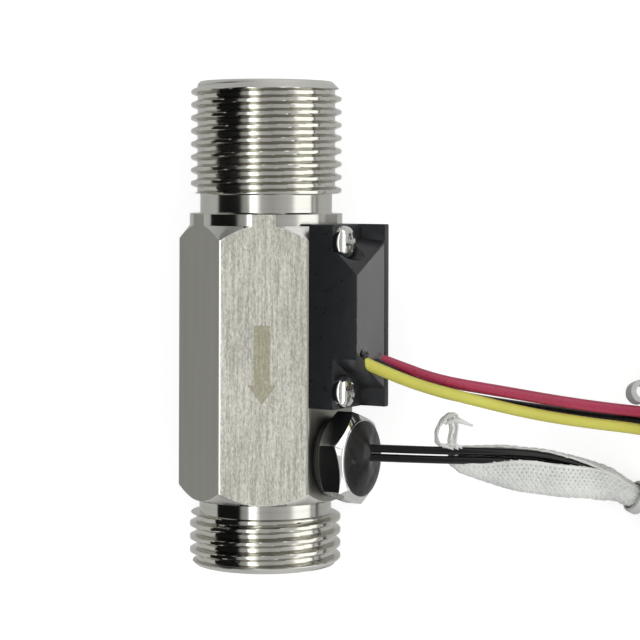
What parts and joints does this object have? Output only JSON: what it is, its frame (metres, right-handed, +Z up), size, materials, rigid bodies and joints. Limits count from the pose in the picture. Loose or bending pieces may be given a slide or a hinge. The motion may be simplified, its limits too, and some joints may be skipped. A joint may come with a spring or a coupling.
{
  "type": "turbine flow sensor with temperature probe",
  "caption": "Inline water flow sensor: threaded hexagon body with an internal magnet turbine, a moulded Hall sensor housing, a screw-in temperature probe and plugged leads.",
  "frame": {"origin": "centre of the lower hexagon flat that the part lies on, midway along the hexagon", "axes": "+Y along the pipe axis towards the inlet, against the flow; +Z up, square to the lower flat; +X towards the side where the sensor housing, the probe and their leads are"},
  "size_m": [0.0989, 0.0776, 0.0246],
  "materials": {
    "hex_body": "turned and brushed",
    "flow_guide": "moulded",
    "guide_circlip": "spring steel",
    "front_bush": "moulded",
    "rear_bush": "moulded",
    "rear_support": "moulded",
    "rotor": "moulded",
    "rotor_magnet": "sintered ferrite",
    "rotor_shaft": "ground",
    "hall_housing": "moulded, satin",
    "hall_potting": "cast, satin",
    "housing_screws": "plated",
    "hall_board": "solder resist",
    "hall_chip": "moulded",
    "hall_lead_yellow": "extruded",
    "hall_lead_red": "extruded",
    "hall_lead_black": "extruded",
    "hall_coil": "three coloured leads",
    "hall_coil_tie": "nylon",
    "lead_tie": "nylon",
    "hall_connector": "moulded",
    "hall_contacts": "tin plated",
    "probe_plug": "turned, bright",
    "plug_seal": "moulded",
    "plug_resin": "cast",
    "probe_tube": "drawn",
    "thermistor": "glass bead",
    "ntc_lead_a": "extruded",
    "ntc_lead_b": "extruded",
    "ntc_coil": "two black leads",
    "ntc_coil_tie": "nylon",
    "ntc_sleeve": "braided glass yarn",
    "sleeve_tie": "nylon",
    "ntc_connector": "moulded",
    "ntc_contacts": "tin plated"
  },
  "bodies": {
    "sensor": {"hex_body": "hex_body", "flow_guide": "flow_guide", "guide_circlip": "guide_circlip", "front_bush": "front_bush", "rear_bush": "rear_bush", "rear_support": "rear_support", "hall_housing": "hall_housing", "hall_potting": "hall_potting", "housing_screws": "housing_screws", "hall_board": "hall_board", "hall_chip": "hall_chip", "hall_lead_yellow": "hall_lead_yellow", "hall_lead_red": "hall_lead_red", "hall_lead_black": "hall_lead_black", "hall_coil": "hall_coil", "hall_coil_tie": "hall_coil_tie", "lead_tie": "lead_tie", "hall_connector": "hall_connector", "hall_contacts": "hall_contacts", "probe_plug": "probe_plug", "plug_seal": "plug_seal", "plug_resin": "plug_resin", "probe_tube": "probe_tube", "thermistor": "thermistor", "ntc_lead_a": "ntc_lead_a", "ntc_lead_b": "ntc_lead_b", "ntc_coil": "ntc_coil", "ntc_coil_tie": "ntc_coil_tie", "ntc_sleeve": "ntc_sleeve", "sleeve_tie": "sleeve_tie", "ntc_connector": "ntc_connector", "ntc_contacts": "ntc_contacts"},
    "turbine": {"rotor": "rotor", "rotor_magnet": "rotor_magnet", "rotor_shaft": "rotor_shaft"}
  },
  "joints": [
    {"name": "rotor_spin", "type": "hinge", "parent": "sensor", "child": "turbine", "pos_m": [0, 0, 0.0105], "axis": [0, 1, 0], "continuous": true}
  ]
}
